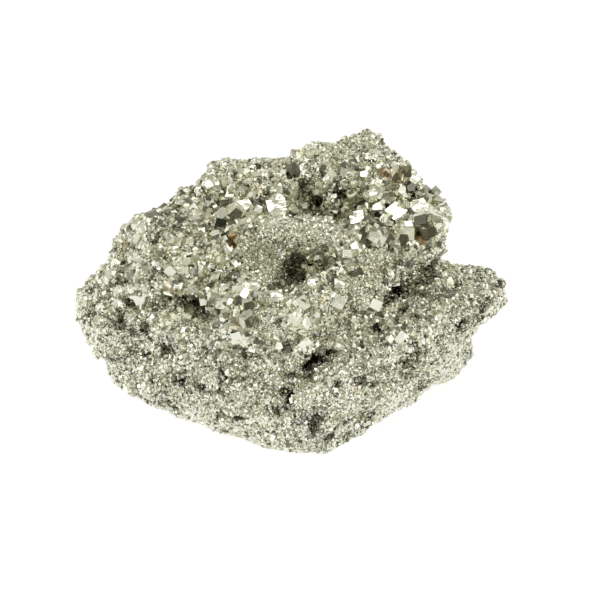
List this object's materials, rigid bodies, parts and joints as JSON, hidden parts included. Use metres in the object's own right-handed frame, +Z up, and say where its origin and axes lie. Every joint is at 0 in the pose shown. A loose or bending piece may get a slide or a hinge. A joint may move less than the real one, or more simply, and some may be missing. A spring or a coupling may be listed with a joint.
{
  "type": "pyrite specimen",
  "caption": "Hand-sized pyrite cluster: a low wedge of fine grains under an overhanging mass with a pit, a ridge and a crystal-lined hollow",
  "frame": {"origin": "on the flat face it rests on, under the middle of its box", "axes": "+X across, the longest extent, towards the arm; +Y to the back; +Z up, the shortest extent"},
  "size_m": [0.0819, 0.0582, 0.0365],
  "materials": {
    "pyrite": "metallic lustre on crystal faces, pale brass-yellow"
  },
  "bodies": {
    "root": {"pyrite_specimen": "pyrite"}
  },
  "joints": []
}
